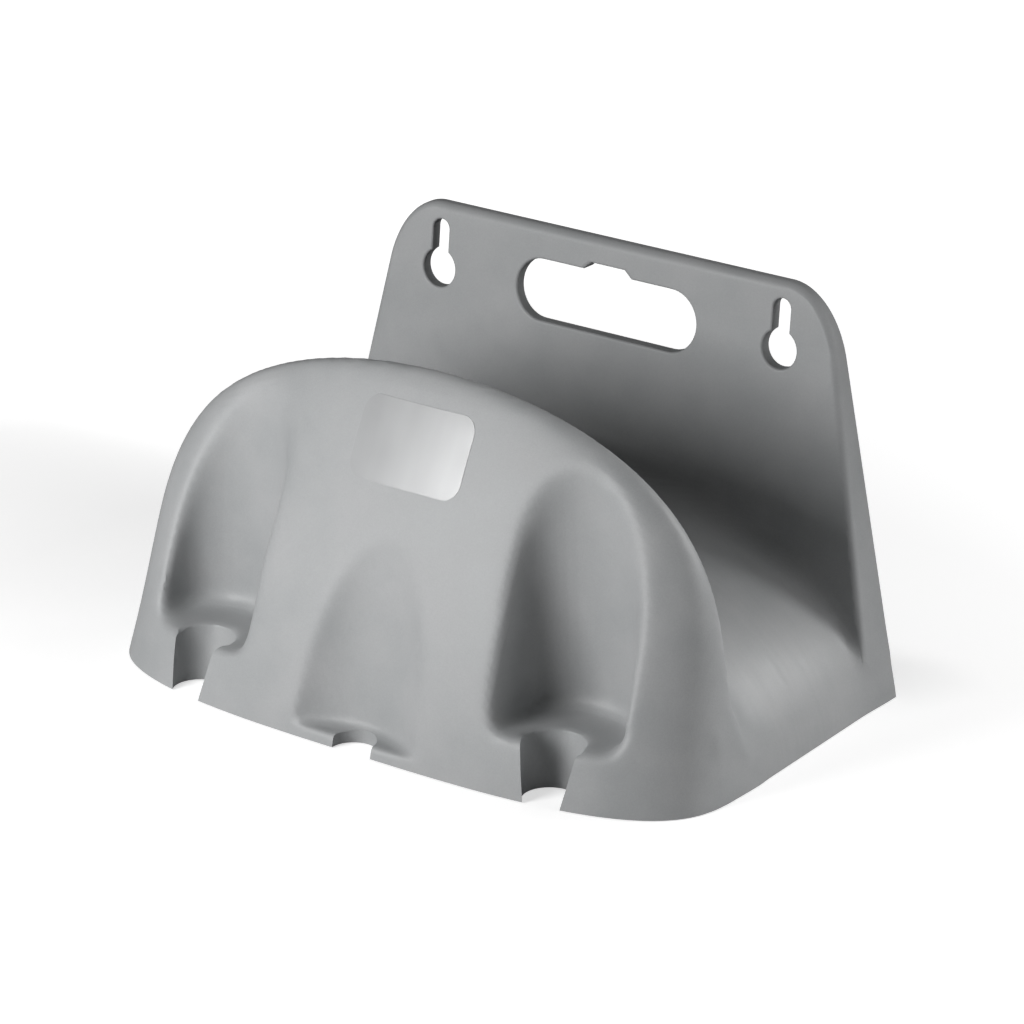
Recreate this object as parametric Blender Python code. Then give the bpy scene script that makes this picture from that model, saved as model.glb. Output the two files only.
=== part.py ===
# Wall hose hanger: a coil of garden hose lies over an arched saddle between a
# domed front shield and a plate that hangs on two wall screws.
# Units are metres, +Z is up and +Y points at the wall, whose face is the plane y = 0.
# Heights below are measured from the bottom rim; the finished pieces are then
# lowered so that the origin lies on the hang line, level with the keyholes' tops.

import math

import bmesh
import bpy

# Skin and seams
WALL = 0.0028
SEAM = 0.0003
OVERSHOOT = 0.004
SMOOTH_ANGLE = math.radians(32)

# Bottom rim, seen from above
BASE_HALF_WIDTH = 0.1192
WALL_HALF_WIDTH = 0.1150
SHIELD_DEPTH = 0.1440
BELLY_DEPTH = 0.0460
RIM_LINE_DEPTH = SHIELD_DEPTH - BELLY_DEPTH

# Dome of the front shield
DOME_HEIGHT = 0.1173
DOME_HALF_WIDTH = 0.1140
DOME_SIDE_POWER = 2.02
DOME_CROWN_POWER = 3.84
DOME_RIM_RADIUS = 0.0050
RIM_START_HEIGHT = 0.0150
RIM_FULL_HEIGHT = 0.0420
CROWN_ROUND = 0.0060
CROWN_DEPTH = 0.0016
SKIN_BASE_LEAN = math.radians(10.8)
BELLY_POWER_AT_RIM = 3.05
BELLY_POWER_LOSS = 12.0
BELLY_POWER_LEAST = 2.1
FLARE_HEIGHT = 0.0480

# Saddle between the shield and the plate
SADDLE_HEIGHT = 0.0640
SADDLE_POWER = 1.85
TROUGH_FILLET = 0.0140

# Back plate
PLATE_HEIGHT = 0.1362
PLATE_TOP_THICKNESS = 0.0045
PLATE_DRAFT = math.radians(5.28)
PLATE_SIDE_LEAN = math.radians(11.4)
PLATE_CORNER_WIDTH = 0.0220
PLATE_CORNER_HEIGHT = 0.0320
PLATE_EDGE_RADIUS = 0.0020
COLLAR_WALL = 0.0025
COLLAR_SETBACK = 0.0008

# Keyholes and grip slot in the back plate
SCREW_SPACING = 0.1400
KEYHOLE_MARGIN = 0.0056
KEYHOLE_TOP = PLATE_HEIGHT - KEYHOLE_MARGIN
KEYHOLE_SLOT_WIDTH = 0.0066
KEYHOLE_HEAD_DIAMETER = 0.0133
KEYHOLE_DROP = 0.0137
GRIP_SLOT_LENGTH = 0.0736
GRIP_SLOT_HEIGHT = 0.0212
GRIP_SLOT_MARGIN = 0.0112
GRIP_SLOT_CENTRE = PLATE_HEIGHT - GRIP_SLOT_MARGIN - GRIP_SLOT_HEIGHT / 2
GRIP_NOTCH_WIDTH = 0.0195
GRIP_NOTCH_TOP_WIDTH = 0.0135
GRIP_NOTCH_HEIGHT = 0.0026

# Pockets that hold the two hose ends
POCKET_SPACING = 0.1450
POCKET_HALF_WIDTH = 0.0215
POCKET_ROUND_DEPTH = 0.0140
POCKET_SETBACK = 0.0260
POCKET_FLOOR = 0.0176
POCKET_TILT = math.radians(2.4)
CHANNEL_TOP_RADIUS = 0.0110
CHANNEL_LOW_RADIUS = 0.0092
CHANNEL_TOP_SETBACK = 0.0125
CHANNEL_LOW_SETBACK = 0.0097

# Shallow recess and notch for the nozzle, in the middle of the shield
RECESS_RADIUS = 0.0400
RECESS_SETBACK = 0.0100
RECESS_LEAN = math.radians(9.1)
RECESS_FLOOR = 0.0040
NOTCH_RADIUS = 0.0078
NOTCH_SETBACK = 0.0011

# Label panel high on the shield
LABEL_WIDTH = 0.0470
LABEL_HEIGHT = 0.0245
LABEL_MARGIN = 0.01015
LABEL_CENTRE = DOME_HEIGHT - LABEL_MARGIN - LABEL_HEIGHT / 2
LABEL_CORNER_RADIUS = 0.0050
LABEL_THICKNESS = 0.0004

# Fineness of the curved faces
DOME_ROWS = 22
FRONT_COLUMNS = 28
REAR_COLUMNS = 6
ARCH_STEPS = 44
RIM_STEPS = 4
ROUND_STEPS = 32
CORNER_STEPS = 6


# Mesh helpers

def new_object(name, bm):
    bmesh.ops.recalc_face_normals(bm, faces=bm.faces)
    mesh = bpy.data.meshes.new(name)
    bm.to_mesh(mesh)
    bm.free()
    obj = bpy.data.objects.new(name, mesh)
    bpy.context.collection.objects.link(obj)
    return obj


def as_cutter(obj):
    obj.hide_render = True
    obj.display_type = "WIRE"
    return obj


def boolean(obj, other, operation):
    modifier = obj.modifiers.new(operation.lower() + "_" + other.name, "BOOLEAN")
    modifier.operation = operation
    modifier.solver = "EXACT"
    modifier.object = other


def cut(obj, *cutters):
    for cutter in cutters:
        boolean(obj, cutter, "DIFFERENCE")


def loft(name, loops):
    """Solid through a row of closed loops of equal length, on a grid of a tenth of a micron."""
    bm = bmesh.new()
    rings = []
    for loop in loops:
        rings.append([bm.verts.new([round(value, 7) for value in point]) for point in loop])
    count = len(rings[0])
    for lower, upper in zip(rings, rings[1:]):
        for i in range(count):
            j = (i + 1) % count
            bm.faces.new((lower[i], lower[j], upper[j], upper[i]))
    bm.faces.new(rings[0])
    bm.faces.new(rings[-1])
    bmesh.ops.dissolve_degenerate(bm, dist=1e-6, edges=bm.edges)
    bmesh.ops.remove_doubles(bm, verts=bm.verts, dist=1e-6)
    return new_object(name, bm)


def prism(name, outline, low_y, high_y):
    """Outline of (x, z) points pushed from low_y to high_y."""
    return loft(name, [[(x, y, z) for x, z in outline] for y in (low_y, high_y)])


def arc(centre, radius, start, end, steps):
    turns = [start + (end - start) * i / steps for i in range(steps + 1)]
    return [(centre[0] + radius * math.cos(t), centre[1] + radius * math.sin(t)) for t in turns]


def material(name, colour, roughness):
    result = bpy.data.materials.new(name)
    result.use_nodes = True
    shader = result.node_tree.nodes["Principled BSDF"]
    shader.inputs["Base Color"].default_value = (*colour, 1.0)
    shader.inputs["Roughness"].default_value = roughness
    shader.inputs["Metallic"].default_value = 0.0
    return result


def finish(obj, finish_material):
    obj.data.materials.append(finish_material)
    obj.data.shade_smooth()
    obj.data.set_sharp_from_angle(angle=SMOOTH_ANGLE)


def lower_to_hang_line():
    """Hangs every solid and cutter on one empty, which puts the origin level with the keyholes' tops."""
    hang_line = bpy.data.objects.new("hang_line", None)
    bpy.context.collection.objects.link(hang_line)
    hang_line.location.z = -KEYHOLE_TOP
    for obj in bpy.data.objects:
        if obj.type == "MESH":
            obj.parent = hang_line


# Front shield: outlines

def lean(z):
    """How far the front skin has leaned back at a height, curving from the rim to the crown."""
    at_base = math.tan(SKIN_BASE_LEAN)
    curving = BELLY_DEPTH - CROWN_DEPTH - at_base * DOME_HEIGHT
    return at_base * z + curving * (z / DOME_HEIGHT) ** 2


def flared(x, z):
    """The dome's sides flare out to the bottom rim's width below FLARE_HEIGHT."""
    reach = max(0.0, 1 - max(z, 0.0) / FLARE_HEIGHT) ** 2
    return x * (1 + (BASE_HALF_WIDTH / DOME_HALF_WIDTH - 1) * reach)


def rim_radius(z):
    """The shield's rear edge is round above the saddle and runs out to nothing at the foot."""
    share = (z - RIM_START_HEIGHT) / (RIM_FULL_HEIGHT - RIM_START_HEIGHT)
    return DOME_RIM_RADIUS * min(max(share, 0.02), 1.0)


def dome_outline(z, inset):
    """Half width of the dome at a height, and the direction square to its outline, pointing in."""
    width, height = DOME_HALF_WIDTH - inset, DOME_HEIGHT - inset
    share = 1 - (z / height) ** DOME_CROWN_POWER
    x = width * max(share, 0.0) ** (1 / DOME_SIDE_POWER)
    across = DOME_SIDE_POWER / width * (x / width) ** (DOME_SIDE_POWER - 1)
    upwards = DOME_CROWN_POWER / height * (z / height) ** (DOME_CROWN_POWER - 1)
    length = math.hypot(across, upwards)
    return x, (-across / length, -upwards / length)


def dome_loop(z, inset, foot):
    """One row of the shield: a belly curve across the front, then the round rear edge and the rear."""
    half_width, inward = dome_outline(z, inset)
    from_crown = min((DOME_HEIGHT - inset - z) / CROWN_ROUND, 1.0)
    crown = math.sqrt(1 - (1 - from_crown) ** 2)
    depth = (BELLY_DEPTH - lean(z) - inset) * crown
    power = max(BELLY_POWER_AT_RIM - BELLY_POWER_LOSS * z, BELLY_POWER_LEAST)
    loop = []
    for column in range(FRONT_COLUMNS + 1):
        turn = math.pi * (column / FRONT_COLUMNS - 0.5)
        x = half_width * math.copysign(abs(math.sin(turn)) ** (2 / power), turn)
        y = -RIM_LINE_DEPTH - depth * max(math.cos(turn), 0.0) ** (2 / power)
        loop.append((x, y, z))
    round_edge = []
    radius = rim_radius(z) - min(inset, rim_radius(z) / 2)
    behind = DOME_RIM_RADIUS - min(inset, DOME_RIM_RADIUS / 2)
    for step in range(1, RIM_STEPS + 1):
        turn = math.pi / 2 * step / RIM_STEPS
        depth_in = radius * (1 - math.cos(turn))
        x = max(half_width + inward[0] * depth_in, 0.0)
        round_edge.append((x, -RIM_LINE_DEPTH + behind * math.sin(turn), z + inward[1] * depth_in))
    loop += round_edge
    rear_x, rear_y, rear_z = round_edge[-1]
    for column in range(1, REAR_COLUMNS):
        loop.append((rear_x * (1 - 2 * column / REAR_COLUMNS), rear_y, rear_z))
    loop += [(-x, y, z) for x, y, z in reversed(round_edge)]
    return [(flared(x, z), y, z if z > 1e-9 else foot) for x, y, z in loop]


def dome_solid(name, inset, foot):
    """Shield without its hollow, drawn in by inset, with its foot at a height at or under the rim."""
    turns = [math.pi / 2 * row / DOME_ROWS for row in range(DOME_ROWS + 1)]
    return loft(name, [dome_loop((DOME_HEIGHT - inset) * math.sin(t), inset, foot) for t in turns])


# Front shield: grooves, each grown by the wall where it shapes the hollow behind it

def groove(name, heights, centres, half_width, round_depth, setback):
    """Upright groove with a round back, open towards the front, its axis set back from the shield's front."""
    loops = []
    for z, x0 in zip(heights, centres):
        back = [(x0 + half_width * x, setback - SHIELD_DEPTH + round_depth * y)
                for x, y in arc((0, 0), 1.0, 0, math.pi, ROUND_STEPS // 2)]
        front = [(x0 - half_width, -SHIELD_DEPTH - half_width), (x0 + half_width, -SHIELD_DEPTH - half_width)]
        loops.append([(x, y, z) for x, y in back + front])
    return as_cutter(loft(name, loops))


def pocket_groove(name, side, grown):
    """The pockets lean together a little at the top, so their middle moves inwards with height."""
    heights = (POCKET_FLOOR - grown, DOME_HEIGHT + OVERSHOOT)
    centres = [side * (POCKET_SPACING / 2 - math.tan(POCKET_TILT) * (z - POCKET_FLOOR)) for z in heights]
    half_width, round_depth = POCKET_HALF_WIDTH + grown, POCKET_ROUND_DEPTH + grown
    return groove(name, heights, centres, half_width, round_depth, POCKET_SETBACK)


def channel_hole(name, side, grown, foot):
    """The hose leaves each pocket downwards through a round hole, which narrows towards the rim."""
    loops = []
    for z in (foot, POCKET_FLOOR + SEAM):
        share = z / POCKET_FLOOR
        radius = CHANNEL_LOW_RADIUS + (CHANNEL_TOP_RADIUS - CHANNEL_LOW_RADIUS) * share + grown
        setback = CHANNEL_LOW_SETBACK + (CHANNEL_TOP_SETBACK - CHANNEL_LOW_SETBACK) * share
        circle = arc((side * POCKET_SPACING / 2, setback - SHIELD_DEPTH), radius, 0, 2 * math.pi, ROUND_STEPS)
        loops.append([(x, y, z) for x, y in circle[:-1]])
    return as_cutter(loft(name, loops))


def notch_groove(name, grown, foot, top):
    radius = NOTCH_RADIUS + grown
    return groove(name, (foot, top), (0.0, 0.0), radius, radius, NOTCH_SETBACK)


def recess_groove(name, grown):
    """Shallow recess: a large cylinder whose back line leans a little less than the shield."""
    radius = RECESS_RADIUS + grown
    loops = []
    for z in (RECESS_FLOOR - grown, DOME_HEIGHT):
        back = RECESS_SETBACK - SHIELD_DEPTH + math.tan(RECESS_LEAN) * (z - RECESS_FLOOR) + grown
        circle = arc((0, back - radius), radius, 0, 2 * math.pi, 2 * ROUND_STEPS)
        loops.append([(x, y, z) for x, y in circle[:-1]])
    return as_cutter(loft(name, loops))


def label_outline(margin):
    radius = LABEL_CORNER_RADIUS - margin
    corner_x = LABEL_WIDTH / 2 - margin - radius
    corner_z = LABEL_HEIGHT / 2 - margin - radius
    outline = []
    for quarter, (sx, sz) in enumerate(((1, 1), (-1, 1), (-1, -1), (1, -1))):
        centre = (sx * corner_x, LABEL_CENTRE + sz * corner_z)
        outline += arc(centre, radius, quarter * math.pi / 2, (quarter + 1) * math.pi / 2, CORNER_STEPS)
    return outline


def build_front_shield():
    shield = dome_solid("front_shield", 0.0, 0.0)
    core = as_cutter(dome_solid("shield_core", WALL, -OVERSHOOT))
    grooves = []
    for side, word in ((-1, "left"), (1, "right")):
        cut(core, pocket_groove(word + "_pocket_wall", side, WALL))
        cut(core, channel_hole(word + "_channel_wall", side, WALL, -2 * OVERSHOOT))
        grooves.append(pocket_groove(word + "_pocket", side, 0.0))
        grooves.append(channel_hole(word + "_channel", side, 0.0, -OVERSHOOT))
    cut(core, recess_groove("recess_wall", WALL))
    cut(core, notch_groove("notch_wall", WALL, -2 * OVERSHOOT, RECESS_FLOOR))
    grooves.append(recess_groove("recess", 0.0))
    grooves.append(notch_groove("notch", 0.0, -OVERSHOOT, RECESS_FLOOR + SEAM))
    cut(shield, core, *grooves)

    seat = as_cutter(dome_solid("label_seat", LABEL_THICKNESS + SEAM, -OVERSHOOT))
    pocket = as_cutter(prism("label_pocket", label_outline(0.0), -SHIELD_DEPTH, -RIM_LINE_DEPTH))
    cut(pocket, seat)
    cut(shield, pocket)
    cut(shield, saddle_tunnel("shield_mouth"))
    return shield


def build_front_label():
    label = prism("front_label", label_outline(SEAM), -SHIELD_DEPTH, -RIM_LINE_DEPTH)
    boolean(label, as_cutter(dome_solid("label_front", 0.0, -OVERSHOOT)), "INTERSECT")
    cut(label, as_cutter(dome_solid("label_back", LABEL_THICKNESS, -OVERSHOOT)))
    return label


# Saddle

def arch_point(half_width, height, side_power, crown_power, share):
    """Point on a symmetric arch: share 0 is its foot at +X, 0.5 its crown, 1 its foot at -X."""
    angle = math.pi * share
    across = math.copysign(abs(math.cos(angle)) ** (2 / side_power), math.cos(angle))
    up = math.sin(angle) ** (2 / crown_power)
    return half_width * across, height * up


def saddle_section(y, outset, foot):
    """Arch across the trough at one depth, swept up into the shield by the trough's fillet."""
    ahead = min(max(y + RIM_LINE_DEPTH - DOME_RIM_RADIUS, 0.0), TROUGH_FILLET)
    rise = TROUGH_FILLET - math.sqrt(TROUGH_FILLET ** 2 - (TROUGH_FILLET - ahead) ** 2)
    towards_wall = min(max(1 + y / RIM_LINE_DEPTH, 0.0), 1.0)
    half_width = BASE_HALF_WIDTH + (WALL_HALF_WIDTH - BASE_HALF_WIDTH) * towards_wall
    section = []
    for step in range(ARCH_STEPS + 1):
        share = step / ARCH_STEPS
        x, z = arch_point(half_width, SADDLE_HEIGHT, SADDLE_POWER, SADDLE_POWER, share)
        dome = arch_point(DOME_HALF_WIDTH, DOME_HEIGHT, DOME_SIDE_POWER, DOME_CROWN_POWER, share)
        across, up = flared(*dome) - x, dome[1] - z
        gap = math.hypot(across, up)
        move = min(rise, gap) / gap if gap > 1e-9 else 0.0
        section.append((x + across * move, z + up * move))
    section = [offset_point(section, i, outset) for i in range(len(section))]
    section[0] = (section[0][0], foot)
    section[-1] = (section[-1][0], foot)
    return [(x, y, z) for x, z in section]


def offset_point(points, i, distance):
    """Point of an open outline, running anticlockwise from +X, moved outwards by a distance."""
    x1, z1 = points[max(i - 1, 0)]
    x2, z2 = points[min(i + 1, len(points) - 1)]
    length = math.hypot(x2 - x1, z2 - z1)
    return points[i][0] + distance * (z2 - z1) / length, points[i][1] - distance * (x2 - x1) / length


def saddle_stations(first, last):
    start = -RIM_LINE_DEPTH + DOME_RIM_RADIUS
    turns = [math.pi / 2 * i / CORNER_STEPS for i in range(CORNER_STEPS + 1)]
    fillet = [start + TROUGH_FILLET * (1 - math.cos(t)) for t in turns]
    return [first] + [y for y in fillet if y > first] + [last]


def saddle_tunnel(name):
    """The hollow under the saddle, which runs from inside the shield out through the wall plane."""
    stations = saddle_stations(-RIM_LINE_DEPTH - OVERSHOOT, OVERSHOOT)
    return as_cutter(loft(name, [saddle_section(y, -WALL, -OVERSHOOT) for y in stations]))


def build_hose_saddle():
    start = -RIM_LINE_DEPTH + DOME_RIM_RADIUS + SEAM
    saddle = loft("hose_saddle", [saddle_section(y, 0.0, 0.0) for y in saddle_stations(start, 0.0)])
    cut(saddle, saddle_tunnel("saddle_tunnel"))
    cut(saddle, plate_pan("saddle_back"))
    return saddle


# Back plate

def face_y(z):
    """Front face of the back plate, which thickens downwards by its draft."""
    return -PLATE_TOP_THICKNESS - math.tan(PLATE_DRAFT) * (PLATE_HEIGHT - z)


def plate_outline(inset, foot):
    """Trapezium with rounded top corners, drawn in by inset, its foot at a height."""
    slope = math.tan(PLATE_SIDE_LEAN)
    foot_x = WALL_HALF_WIDTH - inset / math.cos(PLATE_SIDE_LEAN)
    wide, high = PLATE_CORNER_WIDTH - inset, PLATE_CORNER_HEIGHT - inset
    start = math.atan(slope * high / wide)
    centre_z = PLATE_HEIGHT - inset - high
    centre_x = foot_x - slope * (centre_z + high * math.sin(start)) - wide * math.cos(start)
    right = [(foot_x - slope * foot, foot)]
    for x, z in arc((0, 0), 1.0, start, math.pi / 2, 2 * CORNER_STEPS):
        right.append((centre_x + wide * x, centre_z + high * z))
    return right + [(-x, z) for x, z in reversed(right)]


def plate_pan(name):
    """Hollow behind the plate's face, open towards the wall and into the saddle's hollow."""
    outline = plate_outline(WALL, -OVERSHOOT)
    front = [(x, face_y(z) + WALL, z) for x, z in outline]
    return as_cutter(loft(name, [front, [(x, OVERSHOOT, z) for x, z in outline]]))


def keyhole_outline(side, grown):
    """Round opening for the screw's head with a slot above it for the shank."""
    slot = KEYHOLE_SLOT_WIDTH / 2 + grown
    head = KEYHOLE_HEAD_DIAMETER / 2 + grown
    x0 = side * SCREW_SPACING / 2
    slot_z = KEYHOLE_TOP - KEYHOLE_SLOT_WIDTH / 2
    neck = math.asin(slot / head)
    outline = arc((x0, slot_z), slot, 0, math.pi, ROUND_STEPS // 2)
    outline += arc((x0, slot_z - KEYHOLE_DROP), head, math.pi / 2 + neck, 2.5 * math.pi - neck, ROUND_STEPS)
    return outline


def grip_outline(grown):
    """Stadium slot for the hand, with a small notch in the middle of its top edge."""
    radius = GRIP_SLOT_HEIGHT / 2 + grown
    reach = GRIP_SLOT_LENGTH / 2 - GRIP_SLOT_HEIGHT / 2
    outline = arc((reach, GRIP_SLOT_CENTRE), radius, -math.pi / 2, math.pi / 2, ROUND_STEPS // 2)
    top = GRIP_SLOT_CENTRE + radius
    outline.append((GRIP_NOTCH_WIDTH / 2 + grown, top))
    outline.append((GRIP_NOTCH_TOP_WIDTH / 2 + grown, top + GRIP_NOTCH_HEIGHT))
    outline.append((-GRIP_NOTCH_TOP_WIDTH / 2 - grown, top + GRIP_NOTCH_HEIGHT))
    outline.append((-GRIP_NOTCH_WIDTH / 2 - grown, top))
    outline += arc((-reach, GRIP_SLOT_CENTRE), radius, math.pi / 2, 1.5 * math.pi, ROUND_STEPS // 2)
    return outline


def build_back_plate():
    outline = plate_outline(0.0, 0.0)
    plate = loft("back_plate", [[(x, face_y(z), z) for x, z in outline], [(x, 0.0, z) for x, z in outline]])
    round_front_edge(plate)
    pan = plate_pan("plate_pan")
    front = face_y(0.0) - OVERSHOOT
    for side, word in ((-1, "left"), (1, "right")):
        collar = prism(word + "_keyhole_collar", keyhole_outline(side, COLLAR_WALL), front, -COLLAR_SETBACK)
        cut(pan, as_cutter(collar))
        cut(plate, as_cutter(prism(word + "_keyhole", keyhole_outline(side, 0.0), front, OVERSHOOT)))
    cut(pan, as_cutter(prism("grip_collar", grip_outline(COLLAR_WALL), front, -COLLAR_SETBACK)))
    cut(pan, as_cutter(grip_bar(front)))
    cut(plate, as_cutter(prism("grip_slot", grip_outline(0.0), front, OVERSHOOT)))
    cut(plate, pan)
    under = [saddle_section(y, SEAM, -OVERSHOOT) for y in saddle_stations(-RIM_LINE_DEPTH, OVERSHOOT)]
    cut(plate, as_cutter(loft("saddle_clearance", under)))
    return plate


def grip_bar(front):
    """Solid bar that meets the wall, from the grip slot up to the plate's top edge."""
    half = GRIP_SLOT_LENGTH / 2
    low, high = GRIP_SLOT_CENTRE, PLATE_HEIGHT
    outline = [(-half, low), (half, low), (half, high), (-half, high)]
    return prism("grip_bar", outline, front, 2 * OVERSHOOT)


def round_front_edge(plate):
    """Rounds the rim of the plate's face, apart from its foot, which the saddle replaces."""
    bm = bmesh.new()
    bm.from_mesh(plate.data)
    in_front = [edge for edge in bm.edges if all(vert.co.y < -1e-6 for vert in edge.verts)]
    edges = [edge for edge in in_front if any(vert.co.z > 1e-6 for vert in edge.verts)]
    bmesh.ops.bevel(bm, geom=edges, affect="EDGES", offset=PLATE_EDGE_RADIUS, segments=RIM_STEPS,
                    profile=0.5, material=-1, clamp_overlap=True)
    bm.to_mesh(plate.data)
    bm.free()


def clear_scene():
    for obj in list(bpy.data.objects):
        bpy.data.objects.remove(obj, do_unlink=True)


def main():
    clear_scene()
    moulded = ((0.33, 0.335, 0.335), 0.55)
    finish(build_front_shield(), material("shield_plastic", *moulded))
    finish(build_hose_saddle(), material("saddle_plastic", *moulded))
    finish(build_back_plate(), material("plate_plastic", *moulded))
    finish(build_front_label(), material("label_film", (0.40, 0.405, 0.405), 0.22))
    lower_to_hang_line()


main()
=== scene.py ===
# Wall hanger in moulded mid-grey plastic, dressed over its CAD frame. Sizes are in metres.
import math

import bmesh
import bpy
from mathutils import Matrix, Vector


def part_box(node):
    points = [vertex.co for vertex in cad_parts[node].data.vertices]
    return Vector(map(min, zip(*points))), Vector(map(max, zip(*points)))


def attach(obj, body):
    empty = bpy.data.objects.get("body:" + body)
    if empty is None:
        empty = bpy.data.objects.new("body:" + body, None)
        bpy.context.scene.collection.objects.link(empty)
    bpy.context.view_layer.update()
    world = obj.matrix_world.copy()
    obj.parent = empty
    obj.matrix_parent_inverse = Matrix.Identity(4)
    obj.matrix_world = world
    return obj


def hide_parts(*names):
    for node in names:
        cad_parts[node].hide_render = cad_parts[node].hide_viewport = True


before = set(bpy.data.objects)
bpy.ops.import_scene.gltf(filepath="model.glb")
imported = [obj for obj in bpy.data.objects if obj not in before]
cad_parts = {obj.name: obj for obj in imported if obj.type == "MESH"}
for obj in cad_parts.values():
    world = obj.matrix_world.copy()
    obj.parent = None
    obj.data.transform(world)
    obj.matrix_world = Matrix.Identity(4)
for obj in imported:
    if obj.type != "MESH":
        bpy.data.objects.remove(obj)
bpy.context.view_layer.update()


# Moulded body, shield. The hanger is one injection moulding in polypropylene with an even skin,
# and its front is a domed shield with a round rear edge. The body is made standing on z = 0,
# a little too long below, and is cut to length and lifted into the frame at the end.

SHIELD_DEPTH = 0.14394
BELLY_DEPTH = 0.04594
RIM_LINE = BELLY_DEPTH - SHIELD_DEPTH
DOME_HEIGHT = 0.1173
DOME_HALF_WIDTH = 0.1140
DOME_SIDE_POWER = 2.02
DOME_CROWN_POWER = 3.84
BASE_HALF_WIDTH = 0.1192
BASE_LEAN = math.radians(10.8)
FLARE_HEIGHT = 0.0480
CROWN_ROUND = 0.0060
CROWN_DEPTH = 0.0016
BELLY_POWER = 3.05
BELLY_POWER_FALL = 12.0
BELLY_POWER_LEAST = 2.1
RIM_RADIUS = 0.0050
RIM_RADIUS_FOOT = 0.015
RIM_RADIUS_RISE = 0.027
RIM_RADIUS_LEAST = 0.02
BELOW = 0.0080


def made(name, bm):
    """The finished bmesh as an object in the scene."""
    mesh = bpy.data.meshes.new(name)
    bm.to_mesh(mesh)
    bm.free()
    piece = bpy.data.objects.new(name, mesh)
    bpy.context.collection.objects.link(piece)
    return piece


def stretched_over(name, rings):
    """Closed body on a stack of closed rings: a flat grid is bent round them and its ends filled."""
    rows, columns = len(rings) - 1, len(rings[0])
    bm = bmesh.new()
    bmesh.ops.create_grid(bm, x_segments=columns, y_segments=rows, size=0.5)
    for vert in bm.verts:
        ring = rings[round((vert.co.y + 0.5) * rows)]
        vert.co = ring[round((vert.co.x + 0.5) * columns) % columns]
    bmesh.ops.remove_doubles(bm, verts=bm.verts, dist=1e-6)
    bmesh.ops.dissolve_degenerate(bm, dist=1e-6, edges=bm.edges)
    bmesh.ops.holes_fill(bm, edges=bm.edges, sides=0)
    bmesh.ops.recalc_face_normals(bm, faces=bm.faces)
    bmesh.ops.triangulate(bm, faces=[face for face in bm.faces if len(face.verts) > 4])
    return made(name, bm)


def lean(z):
    """How far the front skin leans back at a height, curving from the rim to the crown."""
    at_base = math.tan(BASE_LEAN)
    curving = BELLY_DEPTH - CROWN_DEPTH - at_base * DOME_HEIGHT
    return at_base * z + curving * (max(z, 0.0) / DOME_HEIGHT) ** 2


def flared(x, z):
    """The shield's sides run out a little wider towards the rim."""
    reach = max(0.0, 1 - max(z, 0.0) / FLARE_HEIGHT) ** 2
    return x * (1 + (BASE_HALF_WIDTH / DOME_HALF_WIDTH - 1) * reach)


def dome_ring(z, inset):
    """One row of the shield: a belly curve across the front, the round rear edge and the rear."""
    width, height = DOME_HALF_WIDTH - inset, DOME_HEIGHT - inset
    share = max(1 - (max(z, 0.0) / height) ** DOME_CROWN_POWER, 0.0)
    half_width = width * share ** (1 / DOME_SIDE_POWER)
    from_crown = min((height - z) / CROWN_ROUND, 1.0)
    depth = (BELLY_DEPTH - lean(z) - inset) * math.sqrt(1 - (1 - from_crown) ** 2)
    power = max(BELLY_POWER - BELLY_POWER_FALL * max(z, 0.0), BELLY_POWER_LEAST)
    ring = []
    for step in range(181):
        turn = math.pi * (step / 180 - 0.5)
        x = half_width * math.copysign(abs(math.sin(turn)) ** (2 / power), turn)
        ring.append((x, RIM_LINE - depth * max(math.cos(turn), 0.0) ** (2 / power), z))

    across = DOME_SIDE_POWER / width * (half_width / width) ** (DOME_SIDE_POWER - 1)
    upwards = DOME_CROWN_POWER / height * (max(z, 0.0) / height) ** (DOME_CROWN_POWER - 1)
    slant = math.hypot(across, upwards)
    radius = RIM_RADIUS * min(max((z - RIM_RADIUS_FOOT) / RIM_RADIUS_RISE, RIM_RADIUS_LEAST), 1.0)
    radius -= min(inset, radius / 2)
    behind = RIM_RADIUS - min(inset, RIM_RADIUS / 2)
    edge = []
    for step in range(1, 9):
        turn = math.pi / 2 * step / 8
        reach = radius * (1 - math.cos(turn))
        x = max(half_width - across / slant * reach, 0.0)
        edge.append((x, RIM_LINE + behind * math.sin(turn), z - upwards / slant * reach))
    rear_x, rear_y, rear_z = edge[-1]
    ring += edge
    ring += [(rear_x * (1 - step / 10), rear_y, rear_z) for step in range(1, 20)]
    ring += [(-x, y, z) for x, y, z in reversed(edge)]
    return [(flared(x, z), y, z) for x, y, z in ring]


def dome_body(name, inset):
    heights = [-BELOW, -BELOW / 2]
    heights += [(DOME_HEIGHT - inset) * math.sin(math.pi / 2 * row / 90) for row in range(91)]
    return stretched_over(name, [dome_ring(z, inset) for z in heights])


# Moulded body, saddle. The load lies over this arch between the shield and the plate, which is
# moulded in one with both. It sweeps up into the shield with a fillet, and into the plate with
# another one that fades out towards the foot.

SADDLE_HEIGHT = 0.0640
SADDLE_POWER = 1.85
WALL_HALF_WIDTH = 0.1150
TROUGH_START = RIM_LINE + RIM_RADIUS
TROUGH_FILLET = 0.0140
FOOT_FILLET = 0.0090
FOOT_FILLET_FADE = (0.014, 0.045)
SADDLE_IN_SHIELD = 0.012
SADDLE_AT_PLATE = -0.004
SADDLE_IN_PLATE = -0.002
PLATE_HEIGHT = 0.1362
PLATE_TOP_THICKNESS = 0.0045
PLATE_DRAFT = math.radians(5.28)


def face_y(z):
    """Front face of the plate, which thickens downwards by its draft."""
    return -PLATE_TOP_THICKNESS - math.tan(PLATE_DRAFT) * (PLATE_HEIGHT - z)


def between(value, low, high):
    """0 at or under low, 1 at or over high, and smooth from one to the other."""
    share = min(max((value - low) / (high - low), 0.0), 1.0)
    return share * share * (3 - 2 * share)


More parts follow.
